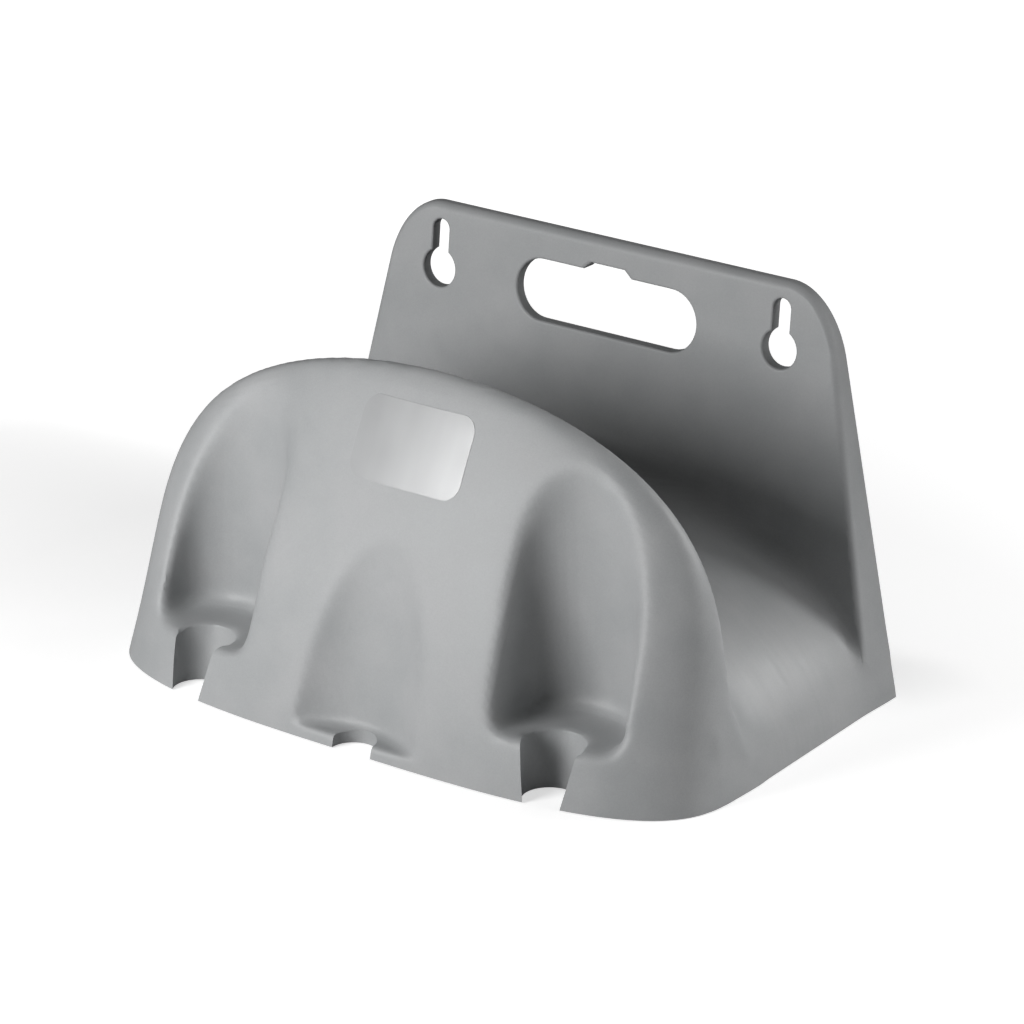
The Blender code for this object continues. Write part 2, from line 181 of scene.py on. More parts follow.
def arch_point(half_width, height, side_power, crown_power, share):
    """Point on an arch: share 0 is its foot at +X, 0.5 its crown, 1 its foot at -X."""
    turn = math.pi * share
    across = math.copysign(abs(math.cos(turn)) ** (2 / side_power), math.cos(turn))
    return half_width * across, height * math.sin(turn) ** (2 / crown_power)


def pushed_out(points, i, distance):
    """Point of an open outline, running anticlockwise from +X, moved outwards."""
    x1, z1 = points[max(i - 1, 0)]
    x2, z2 = points[min(i + 1, len(points) - 1)]
    length = math.hypot(x2 - x1, z2 - z1)
    return points[i][0] + distance * (z2 - z1) / length, points[i][1] - distance * (x2 - x1) / length


def saddle_section(y, outset):
    """Arch across the trough at one depth, swept up into the shield by the trough's fillet."""
    ahead = min(max(y - TROUGH_START, 0.0), TROUGH_FILLET)
    rise = TROUGH_FILLET - math.sqrt(TROUGH_FILLET ** 2 - (TROUGH_FILLET - ahead) ** 2)
    to_wall = min(max(1 - y / RIM_LINE, 0.0), 1.0)
    half_width = BASE_HALF_WIDTH + (WALL_HALF_WIDTH - BASE_HALF_WIDTH) * to_wall
    section = []
    for step in range(201):
        x, z = arch_point(half_width, SADDLE_HEIGHT, SADDLE_POWER, SADDLE_POWER, step / 200)
        dome = arch_point(DOME_HALF_WIDTH, DOME_HEIGHT, DOME_SIDE_POWER, DOME_CROWN_POWER, step / 200)
        across, up = flared(*dome) - x, dome[1] - z
        gap = math.hypot(across, up)
        move = min(rise, gap) / gap if gap > 1e-9 else 0.0
        section.append((x + across * move, z + up * move))
    section = [pushed_out(section, i, outset) for i in range(201)]
    section[0] = (section[0][0], 0.0)
    section[-1] = (section[-1][0], 0.0)
    return section


def footed(section, depth_at):
    """The section as a closed ring that reaches below the rim, each point at its depth."""
    right, left = section[0][0], section[-1][0]
    ring = [(x, depth_at(z), z) for x, z in section]
    return [(right, depth_at(0), -BELOW)] + ring + [(left, depth_at(0), -BELOW)]


def trough_stations(steps):
    """Depths along the fillet between the shield and the saddle, closer together at its start."""
    turns = [math.pi / 2 * i / steps for i in range(steps + 1)]
    return [TROUGH_START + TROUGH_FILLET * (1 - math.cos(turn)) for turn in turns]


def saddle_body():
    """Saddle from inside the shield to inside the plate, with a fillet up the plate's face."""
    stations = [TROUGH_START - SADDLE_IN_SHIELD] + trough_stations(14)
    rings = [footed(saddle_section(y, 0.0), lambda z, y=y: y) for y in stations]
    plain = saddle_section(SADDLE_AT_PLATE, 0.0)
    for step in range(15):
        turn = math.pi / 2 * step / 14
        section = []
        for i, (x, z) in enumerate(plain):
            radius = FOOT_FILLET * between(z, *FOOT_FILLET_FADE)
            section.append(pushed_out(plain, i, radius * (1 - math.cos(turn))))
        reach = FOOT_FILLET * (1 - math.sin(turn))
        rings.append(footed(
            section, lambda z, reach=reach: face_y(z) - reach * between(z, *FOOT_FILLET_FADE)))
    rings.append(footed(section, lambda z: SADDLE_IN_PLATE))
    return stretched_over("saddle", rings)


# Moulded body, plate. It stands up behind the saddle, moulded with it, and hangs on two screws.
# Its face has the mould's draft and its front edge is round. A rough slab of it is eased with the
# body, so that the saddle sweeps up into it, and the exact outline with the edge is cut after.

PLATE_SIDE_LEAN = math.radians(11.4)
PLATE_CORNER_WIDTH = 0.0220
PLATE_CORNER_HEIGHT = 0.0320
PLATE_EDGE_RADIUS = 0.0027
LOW_SPACING = 0.0015
LOW_POINTS = 20
EDGE_FADE = (0.012, 0.026)
SADDLE_FADE = (0.006, 0.0135)
SADDLE_CLEARANCE = 0.0012
TRIM_CLEARANCE = 0.00015
TRIM_PROUD = 0.00003
TRIM_AHEAD = 0.005
TRIM_BACK = 0.006
SLAB_MARGIN = 0.0015
BEHIND_WALL = 0.004
FRONT_HALF_WIDTH = 0.13
FRONT_HEIGHT = 0.15
FRONT_END = -0.16


def arc(centre, radius, start, end, steps):
    turns = [start + (end - start) * i / steps for i in range(steps + 1)]
    return [(centre[0] + radius * math.cos(t), centre[1] + radius * math.sin(t)) for t in turns]


def plate_outline(inset, at_foot=0.0, past_saddle=0.0):
    """Trapezium with rounded top corners, drawn in by inset, and let out again at its foot."""
    slope = math.tan(PLATE_SIDE_LEAN)
    foot_x = WALL_HALF_WIDTH - inset / math.cos(PLATE_SIDE_LEAN)
    wide, high = PLATE_CORNER_WIDTH - inset, PLATE_CORNER_HEIGHT - inset
    start = math.atan(slope * high / wide)
    centre_z = PLATE_HEIGHT - inset - high
    centre_x = foot_x - slope * (centre_z + high * math.sin(start)) - wide * math.cos(start)
    right = []
    for z in [-BELOW] + [LOW_SPACING * step for step in range(LOW_POINTS)]:
        let_out = at_foot * (1 - between(z, *EDGE_FADE)) + past_saddle * (1 - between(z, *SADDLE_FADE))
        right.append((foot_x - slope * z + let_out, z))
    for x, z in arc((0, 0), 1.0, start, math.pi / 2, 40):
        right.append((centre_x + wide * x, centre_z + high * z))
    return right + [(-x, z) for x, z in reversed(right)]


def prism(name, outlines, depths):
    """Outlines of (x, z) points joined one behind the other, each at its depth or depth(z)."""
    rings = []
    for outline, depth in zip(outlines, depths):
        rings.append([(x, depth(z) if callable(depth) else depth, z) for x, z in outline])
    return stretched_over(name, rings)


def settled(piece):
    """Turns a piece's modifiers into its mesh."""
    depsgraph = bpy.context.evaluated_depsgraph_get()
    mesh = bpy.data.meshes.new_from_object(piece.evaluated_get(depsgraph))
    piece.modifiers.clear()
    piece.data = mesh
    return piece


def combined(piece, operation, *others):
    """Adds the others to a piece, or cuts them out of it, and removes them."""
    for other in others:
        modifier = piece.modifiers.new(other.name, "BOOLEAN")
        modifier.operation = operation
        modifier.solver = "MANIFOLD"
        modifier.object = other
    settled(piece)
    for other in others:
        bpy.data.objects.remove(other, do_unlink=True)
    return piece


def plate_slab():
    outline = plate_outline(-SLAB_MARGIN, -SLAB_MARGIN / math.cos(PLATE_SIDE_LEAN))
    return prism("slab", [outline, outline], [face_y, BEHIND_WALL])


def plate_trim():
    """What is kept: all in front of the plate, and the plate itself inside its round edge."""
    turns = [math.pi / 2 * step / 8 for step in range(9)]
    outlines = []
    depths = []
    for turn in turns:
        inset = PLATE_EDGE_RADIUS * (1 - math.sin(turn))
        at_foot = inset / math.cos(PLATE_SIDE_LEAN) + TRIM_CLEARANCE
        outlines.append(plate_outline(inset, at_foot, SADDLE_CLEARANCE))
        depths.append(lambda z, t=turn: face_y(z) - TRIM_PROUD + PLATE_EDGE_RADIUS * (1 - math.cos(t)))
    outlines = [outlines[0]] + outlines + [plate_outline(0.0, TRIM_CLEARANCE, SADDLE_CLEARANCE)]
    trim = prism("trim", outlines, [lambda z: face_y(z) - TRIM_AHEAD] + depths + [TRIM_BACK])
    low = [(-FRONT_HALF_WIDTH, -BELOW), (FRONT_HALF_WIDTH, -BELOW)]
    high = [(FRONT_HALF_WIDTH, FRONT_HEIGHT), (-FRONT_HALF_WIDTH, FRONT_HEIGHT)]
    front = prism("front", [low + high] * 2, [FRONT_END, lambda z: face_y(z) - TRIM_PROUD / 2])
    return combined(trim, "UNION", front)


# Moulded body, hollows in the shield: two pockets, each with a round channel down through its
# floor that is open in front, and in the middle a shallow recess with a notch. All are moulded in.
# Here each is a cutter, and the same one grown by the moulding's thickness shapes the inside.

POCKET_SPACING = 0.1450
POCKET_HALF_WIDTH = 0.0215
POCKET_ROUND_DEPTH = 0.0140
POCKET_SETBACK = 0.0260
POCKET_FLOOR = 0.0188
POCKET_FILLET = 0.0050
POCKET_TILT = math.radians(2.4)
CHANNEL_TOP_RADIUS = 0.0105
CHANNEL_LOW_RADIUS = 0.0089
CHANNEL_TOP_SETBACK = 0.0125
CHANNEL_LOW_SETBACK = 0.0100
RECESS_RADIUS = 0.0400
RECESS_SETBACK = 0.0100
RECESS_LEAN = math.radians(9.1)
RECESS_FLOOR = 0.0040
NOTCH_RADIUS = 0.0078
NOTCH_SETBACK = 0.0011
AHEAD_OF_SHIELD = -0.175
ABOVE_CROWN = 0.004


def groove_ring(z, x, half_width, round_depth, setback):
    """One level of an upright groove: an elliptical back and straight sides out through the front."""
    back = arc((0, 0), 1.0, 0, math.pi, 64)
    ring = [(x + half_width * px, setback - SHIELD_DEPTH + round_depth * py, z) for px, py in back]
    return ring + [(x - half_width, AHEAD_OF_SHIELD, z), (x + half_width, AHEAD_OF_SHIELD, z)]


def pocket_centre(z):
    return POCKET_SPACING / 2 - math.tan(POCKET_TILT) * (z - POCKET_FLOOR)


def pocket(side, grown):
    """Pocket with a fillet round its floor, as rings from the floor's edge up to above the crown."""
    fillet = POCKET_FILLET + grown
    levels = []
    for step in range(9):
        turn = math.pi / 2 * (1 - step / 8)
        z = POCKET_FLOOR + POCKET_FILLET - fillet * math.sin(turn)
        levels.append((z, fillet * (1 - math.cos(turn)) - grown))
    levels.append((DOME_HEIGHT + ABOVE_CROWN, -grown))
    rings = []
    for z, inset in levels:
        half_width, round_depth = POCKET_HALF_WIDTH - inset, POCKET_ROUND_DEPTH - inset
        rings.append(groove_ring(z, side * pocket_centre(z), half_width, round_depth, POCKET_SETBACK))
    return stretched_over("pocket", rings)


def channel(side, grown, top, front=AHEAD_OF_SHIELD):
    """Round hole, narrower at the rim than under the pocket's floor, and flat where it meets front."""
    rings = []
    for z in (-2 * BELOW, top):
        share = z / POCKET_FLOOR
        radius = CHANNEL_LOW_RADIUS + (CHANNEL_TOP_RADIUS - CHANNEL_LOW_RADIUS) * share + grown
        setback = CHANNEL_LOW_SETBACK + (CHANNEL_TOP_SETBACK - CHANNEL_LOW_SETBACK) * share
        x = side * (POCKET_SPACING / 2 - math.tan(POCKET_TILT) * max(z, 0.0))
        circle = arc((x, setback - SHIELD_DEPTH), radius, 0, 2 * math.pi, 96)[:-1]
        rings.append([(x, max(y, front), z) for x, y in circle])
    return stretched_over("channel", rings)


def recess(grown):
    """Shallow recess: a large cylinder whose back leans a little less than the shield."""
    radius = RECESS_RADIUS + grown
    rings = []
    for z in (RECESS_FLOOR - grown, DOME_HEIGHT):
        back = RECESS_SETBACK - SHIELD_DEPTH + math.tan(RECESS_LEAN) * (z - RECESS_FLOOR) + grown
        rings.append([(x, y, z) for x, y in arc((0, back - radius), radius, 0, 2 * math.pi, 160)[:-1]])
    return stretched_over("recess", rings)


def notch(grown, top):
    radius = NOTCH_RADIUS + grown
    rings = [groove_ring(z, 0.0, radius, radius, NOTCH_SETBACK) for z in (-2 * BELOW, top)]
    return stretched_over("notch", rings)


# Moulded body, joined. The mould gives every edge on the shield a generous fillet, widest along
# the pockets' outer lips. So the sharp forms are remeshed to an even grid and eased, each place
# by its own share, and the zones below say where: each goes from none to all between its bounds.

GRID = 0.0013
BODY_REPEATS = 40
OUTER_LIP_REPEATS = 12
LAST_REPEATS = 5
POCKET_SOFTNESS = (0.5, 1.0)
RECESS_SOFTNESS = (0.12, 0.60)
SKIN_SOFTNESS = (0.10, 0.25)
PLATE_FOOT_SOFTNESS = 0.5
IN_FRONT = (0.098, 0.104)
ROUND_POCKET = (0.030, 0.036)
ABOVE_FLOOR = (0.020, 0.032)
BESIDE_RECESS = (0.034, 0.042)
ABOVE_RECESS = (0.075, 0.085)
BEFORE_RECESS = (0.110, 0.118)
ABOVE_LEDGE = (0.010, 0.022)
BEFORE_PLATE = (-0.034, -0.028)
UP_THE_SKIN = (0.030, 0.050)
OUTER_LIP_START = (0.082, 0.087)
OUTER_LIP_END = (0.100, 0.105)
BEFORE_LIP = (0.103, 0.108)
LIP_FOOT = (0.010, 0.020)
LIP_TOP = (0.085, 0.095)
ROUND_CHANNEL = (0.013, 0.016)
CHANNEL_MOUTH = (0.012, 0.014)
BEFORE_CHANNEL = (0.100, 0.104)
MOUTH_HEIGHT = 0.004
MOUTH_FRONT = -0.1335


def remeshed(piece):
    modifier = piece.modifiers.new("even_grid", "REMESH")
    modifier.mode = "VOXEL"
    modifier.voxel_size = GRID
    return settled(piece)


def eased(piece, softness, repeats):
    """Smooths a piece, most where softness(point) is 1 and not at all where it is 0."""
    group = piece.vertex_groups.new(name="soft")
    for vert in piece.data.vertices:
        group.add([vert.index], softness(vert.co), "REPLACE")
    modifier = piece.modifiers.new("ease", "SMOOTH")
    modifier.factor = 0.5
    modifier.iterations = repeats
    modifier.vertex_group = "soft"
    settled(piece)
    piece.vertex_groups.clear()
    return piece


def part_way(bounds, share):
    """Value at a share of the way from the first bound to the second."""
    return bounds[0] + (bounds[1] - bounds[0]) * share


def body_softness(point):
    """Most in the pockets, less in the recess and at the plate's foot, and a little elsewhere."""
    x, y, z = point
    away = math.hypot(abs(x) - pocket_centre(z), y + SHIELD_DEPTH - POCKET_SETBACK)
    pockets = (1 - between(away, *ROUND_POCKET)) * between(-y, *IN_FRONT)
    middle = (1 - between(abs(x), *BESIDE_RECESS)) * (1 - between(z, *ABOVE_RECESS))
    middle *= between(-y, *BEFORE_RECESS)
    foot = between(y, *BEFORE_PLATE) * (1 - between(z, *ABOVE_RECESS))
    return max(pockets * part_way(POCKET_SOFTNESS, between(z, *ABOVE_FLOOR)),
               middle * part_way(RECESS_SOFTNESS, between(z, *ABOVE_LEDGE)),
               foot * PLATE_FOOT_SOFTNESS,
               part_way(SKIN_SOFTNESS, between(z, *UP_THE_SKIN)))


def outer_lip_softness(point):
    """The pockets' outer lips are rounder still."""
    x, y, z = point
    across = between(abs(x), *OUTER_LIP_START) * (1 - between(abs(x), *OUTER_LIP_END))
    return across * between(-y, *BEFORE_LIP) * between(z, *LIP_FOOT) * (1 - between(z, *LIP_TOP))


def last_softness(point):
    """The pockets' outer lips once more, and the rims of the round holes in the pockets' floors."""
    x, y, z = point
    away = math.hypot(abs(x) - POCKET_SPACING / 2, y + SHIELD_DEPTH - CHANNEL_TOP_SETBACK)
    rims = (1 - between(away, *ROUND_CHANNEL)) * between(z, *CHANNEL_MOUTH)
    return max(rims * between(-y, *BEFORE_CHANNEL), outer_lip_softness(point))


body = dome_body("hanger_body", 0.0)
joined = bmesh.new()
joined.from_mesh(body.data)
for part in (saddle_body(), plate_slab()):
    joined.from_mesh(part.data)
    bpy.data.objects.remove(part, do_unlink=True)
joined.to_mesh(body.data)
joined.free()
remeshed(body)
combined(body, "DIFFERENCE", pocket(-1, 0.0), pocket(1, 0.0), recess(0.0))
remeshed(body)
eased(body, body_softness, BODY_REPEATS)
eased(body, outer_lip_softness, OUTER_LIP_REPEATS)
mouths = [channel(side, 0.0, POCKET_FLOOR + MOUTH_HEIGHT, MOUTH_FRONT) for side in (-1, 1)]
combined(body, "DIFFERENCE", *mouths)
remeshed(body)
eased(body, last_softness, LAST_REPEATS)
combined(body, "INTERSECT", plate_trim())


# Moulded body, inside. The moulding is open below and behind, and its inside follows the outside
# at an even thickness. Collars round the plate's openings, and a bar from the grip slot to the
# top edge, are moulded on behind: they stiffen the plate and give the openings their depth.

WALL = 0.0028
CHANNEL_WALL_RISE = 0.0003
TUNNEL_IN_SHIELD = 0.004
SCREW_SPACING = 0.1400
KEYHOLE_MARGIN = 0.0056
KEYHOLE_TOP = PLATE_HEIGHT - KEYHOLE_MARGIN
KEYHOLE_SLOT_WIDTH = 0.0066
KEYHOLE_HEAD_DIAMETER = 0.0133
KEYHOLE_DROP = 0.0137
GRIP_LENGTH = 0.0736
GRIP_HEIGHT = 0.0212
GRIP_STRAIGHT = GRIP_LENGTH - GRIP_HEIGHT
GRIP_MARGIN = 0.0112
GRIP_CENTRE = PLATE_HEIGHT - GRIP_MARGIN - GRIP_HEIGHT / 2
GRIP_NOTCH_WIDTH = 0.0195
GRIP_NOTCH_TOP_WIDTH = 0.0135
GRIP_NOTCH_HEIGHT = 0.0026
COLLAR_WALL = 0.0025
COLLAR_DEPTH = 0.0041
COLLAR_FRONT = -0.03
BAR_BACK = 0.008


def keyhole_outline(side, grown):
    """Round opening for the screw's head with a slot above it for the shank."""
    slot = KEYHOLE_SLOT_WIDTH / 2 + grown
    head = KEYHOLE_HEAD_DIAMETER / 2 + grown
    x = side * SCREW_SPACING / 2
    slot_z = KEYHOLE_TOP - KEYHOLE_SLOT_WIDTH / 2
    neck = math.asin(slot / head)
    outline = arc((x, slot_z), slot, 0, math.pi, 32)
    outline += arc((x, slot_z - KEYHOLE_DROP), head, math.pi / 2 + neck, 2.5 * math.pi - neck, 64)
    return outline


def grip_outline(grown):
    """Slot with round ends, and a small notch in the middle of its top edge."""
    radius = GRIP_HEIGHT / 2 + grown
    reach = GRIP_STRAIGHT / 2
    top = GRIP_CENTRE + radius
    outline = arc((reach, GRIP_CENTRE), radius, -math.pi / 2, math.pi / 2, 48)
    outline += [(GRIP_NOTCH_WIDTH / 2 + grown, top)]
    outline += [(GRIP_NOTCH_TOP_WIDTH / 2 + grown, top + GRIP_NOTCH_HEIGHT)]
    outline += [(-x, z) for x, z in reversed(outline[-2:])]
    return outline + arc((-reach, GRIP_CENTRE), radius, math.pi / 2, 1.5 * math.pi, 48)


def collar(outline):
    """What stays of the plate's thickness round one opening."""
    return prism("collar", [outline, outline], [COLLAR_FRONT, lambda z: face_y(z) + COLLAR_DEPTH])


def plate_pan():
    """Room behind the plate's skin, without the collars and the bar over the grip slot."""
    outline = plate_outline(WALL)
    pan = prism("pan", [outline, outline], [lambda z: face_y(z) + WALL, BEHIND_WALL])
    half = GRIP_STRAIGHT / 2
    bar = [(-half, GRIP_CENTRE), (half, GRIP_CENTRE), (half, PLATE_HEIGHT), (-half, PLATE_HEIGHT)]
    kept = [collar(grip_outline(COLLAR_WALL))]
    kept += [collar(keyhole_outline(side, COLLAR_WALL)) for side in (-1, 1)]
    kept += [prism("bar", [bar, bar], [COLLAR_FRONT, BAR_BACK])]
    return combined(pan, "DIFFERENCE", *kept)


def inside():
    """Room inside the whole moulding: in the shield, under the saddle and behind the plate."""
    core = dome_body("inside", WALL)
    walls = [pocket(-1, WALL), pocket(1, WALL), recess(WALL), notch(WALL, RECESS_FLOOR)]
    walls += [channel(side, WALL, POCKET_FLOOR + CHANNEL_WALL_RISE) for side in (-1, 1)]
    combined(core, "DIFFERENCE", *walls)
    stations = [RIM_LINE - TUNNEL_IN_SHIELD] + trough_stations(8) + [BEHIND_WALL]
    rings = [footed(saddle_section(y, -WALL), lambda z, y=y: y) for y in stations]
    return combined(core, "UNION", stretched_over("tunnel", rings), plate_pan())


combined(body, "DIFFERENCE", inside())


# Moulded body, openings. The channels' lower parts and the middle notch are crisp in the real
# moulding, and the keyholes and the grip slot have a small round lip on the plate's face. They
# are cut last, with the flat bottom rim and the flat back.

LIP = 0.0008
LIP_AHEAD = 0.002
NOTCH_RISE = 0.0015
CHANNEL_RISE = 0.0005
CHANNEL_MARGIN = 0.0001
SHARP_ANGLE = math.radians(35)
rim_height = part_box("front_shield")[0][2]


def lipped(name, outline_of):
    """Cutter through the plate whose mouth on the plate's face is widened by a small round lip."""
    turns = [math.pi / 8 * step for step in range(5)]
    outlines = [outline_of(LIP)] + [outline_of(LIP * (1 - math.sin(t))) for t in turns] + [outline_of(0.0)]
    depths = [lambda z: face_y(z) - LIP_AHEAD]
    depths += [lambda z, t=t: face_y(z) + LIP * (1 - math.cos(t)) for t in turns] + [BEHIND_WALL]
    return prism(name, outlines, depths)


cuts = [notch(0.0, RECESS_FLOOR + NOTCH_RISE)]
cuts += [channel(side, CHANNEL_MARGIN, POCKET_FLOOR + CHANNEL_RISE) for side in (-1, 1)]
cuts += [lipped("keyhole", lambda grown, side=side: keyhole_outline(side, grown)) for side in (-1, 1)]
cuts += [lipped("grip_slot", grip_outline)]
combined(body, "DIFFERENCE", *cuts)

trimmed = bmesh.new()
trimmed.from_mesh(body.data)
for away in ((0, 0, -1), (0, 1, 0)):
    everything = trimmed.verts[:] + trimmed.edges[:] + trimmed.faces[:]
    bmesh.ops.bisect_plane(trimmed, geom=everything, plane_co=(0, 0, 0), plane_no=away, clear_outer=True)
    bmesh.ops.holes_fill(trimmed, edges=[edge for edge in trimmed.edges if edge.is_boundary], sides=0)
bmesh.ops.translate(trimmed, verts=trimmed.verts, vec=(0, 0, rim_height))
trimmed.to_mesh(body.data)
trimmed.free()
body.data.shade_smooth()
body.data.set_sharp_from_angle(angle=SHARP_ANGLE)
normals = body.modifiers.new("flat_faces", "WEIGHTED_NORMAL")
normals.keep_sharp = True
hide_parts("front_shield", "hose_saddle", "back_plate")
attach(body, "root")


# Moulded body, finish. Mid-grey polypropylene from a finely spark-eroded mould is satin rather
# than glossy, with broad soft highlights, a sand-fine grain and a faint cloudiness of the pigment.
# Where the load rubs over the saddle the grain is worn a little smoother and paler.

PLASTIC_GREYS = ("#989a9b", "#a0a1a2")
RUBBED_GREY = "#b0b1b1"
PLASTIC_ROUGHNESS = (0.47, 0.55)
PLASTIC_IOR = 1.49
CLOUD_SIZE = 0.0208333
GRAIN_SIZE = 0.0005
GRAIN_HEIGHT = 0.00003
GRAIN_SHADES = (0.96, 1.04)
SINK_SIZE = 0.0142857
SINK_HEIGHT = 0.00012
RUB_LENGTH = 0.020
RUB_WIDTH = 0.002
RUB_START = (-0.086, -0.070)
RUB_END = (-0.014, -0.030)
RUB_PALER = 0.25
RUB_SMOOTHER = -0.12


def linear(hex_colour):
    """sRGB hex colour as the linear values that a shader takes."""
    channels = [int(hex_colour[i:i + 2], 16) / 255 for i in (1, 3, 5)]
    return [c / 12.92 if c <= 0.04045 else ((c + 0.055) / 1.055) ** 2.4 for c in channels] + [1.0]


def add_node(tree, kind, sockets=None, **settings):
    """Adds a node with its settings. Each socket named takes a link or a plain value."""
    node = tree.nodes.new(kind)
    for name, value in settings.items():
        setattr(node, name, value)
    for socket, source in (sockets or {}).items():
        if isinstance(source, bpy.types.NodeSocket):
            tree.links.new(source, node.inputs[socket])
        else:
            node.inputs[socket].default_value = source
    return node


plastic = bpy.data.materials.new("polypropylene_spark_eroded_mould")
plastic.use_nodes = True
tree = plastic.node_tree
where = add_node(tree, "ShaderNodeTexCoord").outputs["Object"]
# patches of pigment about 21 mm across
clouds = add_node(tree, "ShaderNodeTexNoise", {
    "Vector": where, "Scale": 1 / CLOUD_SIZE, "Detail": 3.0, "Roughness": 0.55}).outputs[0]
# grain about 0.5 mm across, a few times coarser than the real one, so that it shows
grain = add_node(tree, "ShaderNodeTexNoise", {
    "Vector": where, "Scale": 1 / GRAIN_SIZE, "Detail": 2.0, "Roughness": 0.6}).outputs[0]
# waves of shrinkage about 14 mm across
sinks = add_node(tree, "ShaderNodeTexNoise", {
    "Vector": where, "Scale": 1 / SINK_SIZE, "Detail": 1.0, "Roughness": 0.4}).outputs[0]
# rubbed strokes 2 mm wide and 20 mm long, which run round the saddle
along = add_node(tree, "ShaderNodeMapping", {
    "Vector": where, "Scale": (1 / RUB_LENGTH, 1 / RUB_WIDTH, 1 / RUB_LENGTH)}).outputs[0]
strokes = add_node(tree, "ShaderNodeTexNoise", {
    "Vector": along, "Scale": 1.0, "Detail": 3.0}).outputs[0]
depth = add_node(tree, "ShaderNodeSeparateXYZ", {"Vector": where}).outputs["Y"]
behind_shield = add_node(tree, "ShaderNodeMapRange", {
    "Value": depth, "From Min": RUB_START[0], "From Max": RUB_START[1]}).outputs[0]
before_plate = add_node(tree, "ShaderNodeMapRange", {
    "Value": depth, "From Min": RUB_END[0], "From Max": RUB_END[1]}).outputs[0]
rubbed = add_node(tree, "ShaderNodeMath", {
    0: behind_shield, 1: before_plate}, operation="MULTIPLY").outputs[0]
worn = add_node(tree, "ShaderNodeMath", {0: rubbed, 1: strokes}, operation="MULTIPLY").outputs[0]
greys = add_node(tree, "ShaderNodeValToRGB", {0: clouds})
greys.color_ramp.elements[0].position = 0.3
greys.color_ramp.elements[1].position = 0.7
greys.color_ramp.elements[0].color = linear(PLASTIC_GREYS[0])
greys.color_ramp.elements[1].color = linear(PLASTIC_GREYS[1])
speckle = add_node(tree, "ShaderNodeMapRange", {
    "Value": grain, "From Min": 0.3, "From Max": 0.7,
    "To Min": GRAIN_SHADES[0], "To Max": GRAIN_SHADES[1]}).outputs[0]
speckled = add_node(tree, "ShaderNodeVectorMath", {
    0: greys.outputs[0], 1: speckle}, operation="MULTIPLY").outputs[0]
paler = add_node(tree, "ShaderNodeMath", {0: worn, 1: RUB_PALER}, operation="MULTIPLY").outputs[0]
colour = add_node(tree, "ShaderNodeMix", {
    0: paler, 6: speckled, 7: linear(RUBBED_GREY)}, data_type="RGBA").outputs[2]
sheen = add_node(tree, "ShaderNodeMapRange", {
    "Value": clouds, "From Min": 0.3, "From Max": 0.7,
    "To Min": PLASTIC_ROUGHNESS[0], "To Max": PLASTIC_ROUGHNESS[1]}).outputs[0]
smoother = add_node(tree, "ShaderNodeMath", {0: worn, 1: RUB_SMOOTHER}, operation="MULTIPLY").outputs[0]
roughness = add_node(tree, "ShaderNodeMath", {0: sheen, 1: smoother}, operation="ADD").outputs[0]
waved = add_node(tree, "ShaderNodeBump", {
    "Height": sinks, "Strength": 1.0, "Distance": SINK_HEIGHT}).outputs[0]
grained = add_node(tree, "ShaderNodeBump", {
    "Height": grain, "Normal": waved, "Strength": 1.0, "Distance": GRAIN_HEIGHT}).outputs[0]
shader = tree.nodes["Principled BSDF"]
shader.inputs["IOR"].default_value = PLASTIC_IOR
tree.links.new(colour, shader.inputs["Base Color"])
tree.links.new(roughness, shader.inputs["Roughness"])
tree.links.new(grained, shader.inputs["Normal"])
body.data.materials.clear()
body.data.materials.append(plastic)


# Label: a thin bare panel of clear-coated polyester film, glued on high on the shield, where it stands a
# little proud of the skin. It is smoother than the plastic round it, so that it mirrors the lamps softly,
# with the slight waviness of a film that has been rubbed down. Lighter upright streaks in its grey are
# painted reflection of the lamps.

LABEL_WIDTH = 0.0444
LABEL_HEIGHT = 0.0250
LABEL_MARGIN = 0.0096
LABEL_CENTRE = DOME_HEIGHT - LABEL_MARGIN - LABEL_HEIGHT / 2
LABEL_CORNER = 0.0055
LABEL_PROUD = 0.00012
LABEL_SUNK = 0.0006
# the film's own grey, and the lighter grey of its painted reflection streaks
FILM_GREY_AND_PAINTED_STREAK = ("#9d9e9f", "#a3a4a5")
FILM_ROUGHNESS = (0.20, 0.28)
FILM_IOR = 1.5
RIPPLE_SIZE = 0.0090909
RIPPLE_HEIGHT = 0.00002
# size of the painted reflection streaks in the film's grey
PAINTED_STREAK_WIDTH = 0.010
PAINTED_STREAK_DEPTH = 0.100
PAINTED_STREAK_LENGTH = 0.0666667


def label_outline():
    """Rectangle with round corners, a quarter turn at a time."""
    outline = []
    for quarter, (sx, sz) in enumerate(((1, 1), (-1, 1), (-1, -1), (1, -1))):
        x = sx * (LABEL_WIDTH / 2 - LABEL_CORNER)
        z = LABEL_CENTRE + sz * (LABEL_HEIGHT / 2 - LABEL_CORNER)
        start = quarter * math.pi / 2
        outline += arc((x, z), LABEL_CORNER, start, start + math.pi / 2, 16)
    return outline


label = prism("front_panel", [label_outline(), label_outline()], [-SHIELD_DEPTH, RIM_LINE])
combined(label, "INTERSECT", dome_body("label_front", -LABEL_PROUD))
combined(label, "DIFFERENCE", dome_body("label_back", LABEL_SUNK))
label.data.transform(Matrix.Translation((0, 0, rim_height)))
label.data.shade_smooth()
label.data.set_sharp_from_angle(angle=SHARP_ANGLE)
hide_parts("front_label")
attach(label, "root")

film = bpy.data.materials.new("polyester_film_clear_coated")
film.use_nodes = True
tree = film.node_tree
where = add_node(tree, "ShaderNodeTexCoord").outputs["Object"]
# waves about 9 mm across
ripple = add_node(tree, "ShaderNodeTexNoise", {
    "Vector": where, "Scale": 1 / RIPPLE_SIZE, "Detail": 0.0}).outputs[0]
